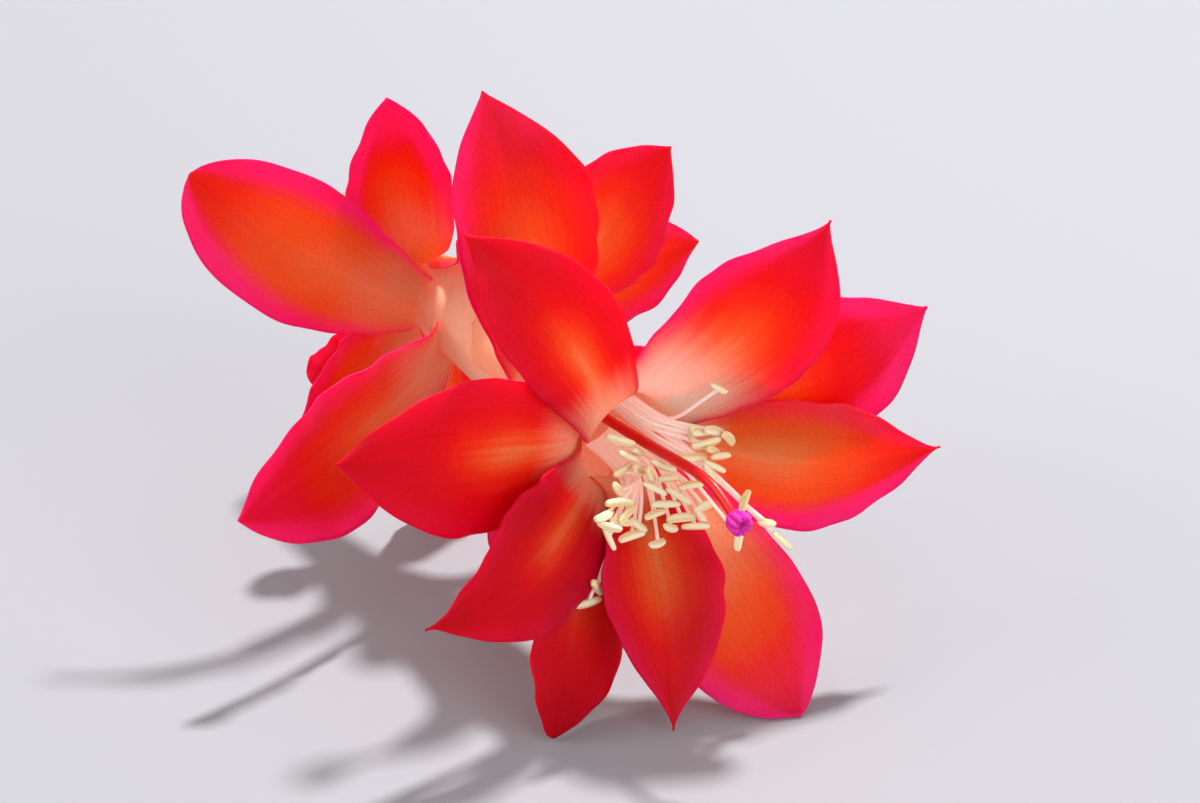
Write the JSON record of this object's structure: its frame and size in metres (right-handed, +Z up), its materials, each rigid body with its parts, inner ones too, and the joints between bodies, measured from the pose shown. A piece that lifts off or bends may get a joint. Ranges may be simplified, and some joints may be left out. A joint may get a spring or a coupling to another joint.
{
  "type": "picked christmas cactus flower",
  "caption": "Picked red Christmas cactus flower lying on its lower petals, with tiers of petals along a pale tube, cream stamens and a magenta stigma.",
  "frame": {"origin": "middle of the flower's bounding box, on the table it lies on", "axes": "+Z up from the table; -Y towards the viewer who looks into the open mouth; +X to that viewer's right"},
  "size_m": [0.0705, 0.0634, 0.0561],
  "materials": {
    "petal": "velvety",
    "tube": "waxy",
    "ovary": "waxy",
    "style": "smooth",
    "stigma": "sticky",
    "stamens": "powdery"
  },
  "bodies": {
    "root": {"front_upper_left": "petal", "front_left": "petal", "front_lower_left": "petal", "front_low_left": "petal", "front_low": "petal", "front_low_right": "petal", "front_right": "petal", "front_upper_right": "petal", "front_far_right": "petal", "middle_top": "petal", "middle_upper_right": "petal", "middle_right": "petal", "middle_under": "petal", "middle_left": "petal", "back_top": "petal", "back_upper_right": "petal", "back_right": "petal", "back_under": "petal", "back_lower_left": "petal", "back_left": "petal", "back_upper_left": "petal", "floral_tube": "tube", "ovary": "ovary", "style": "style", "stigma": "stigma", "stamens": "stamens"}
  },
  "joints": []
}
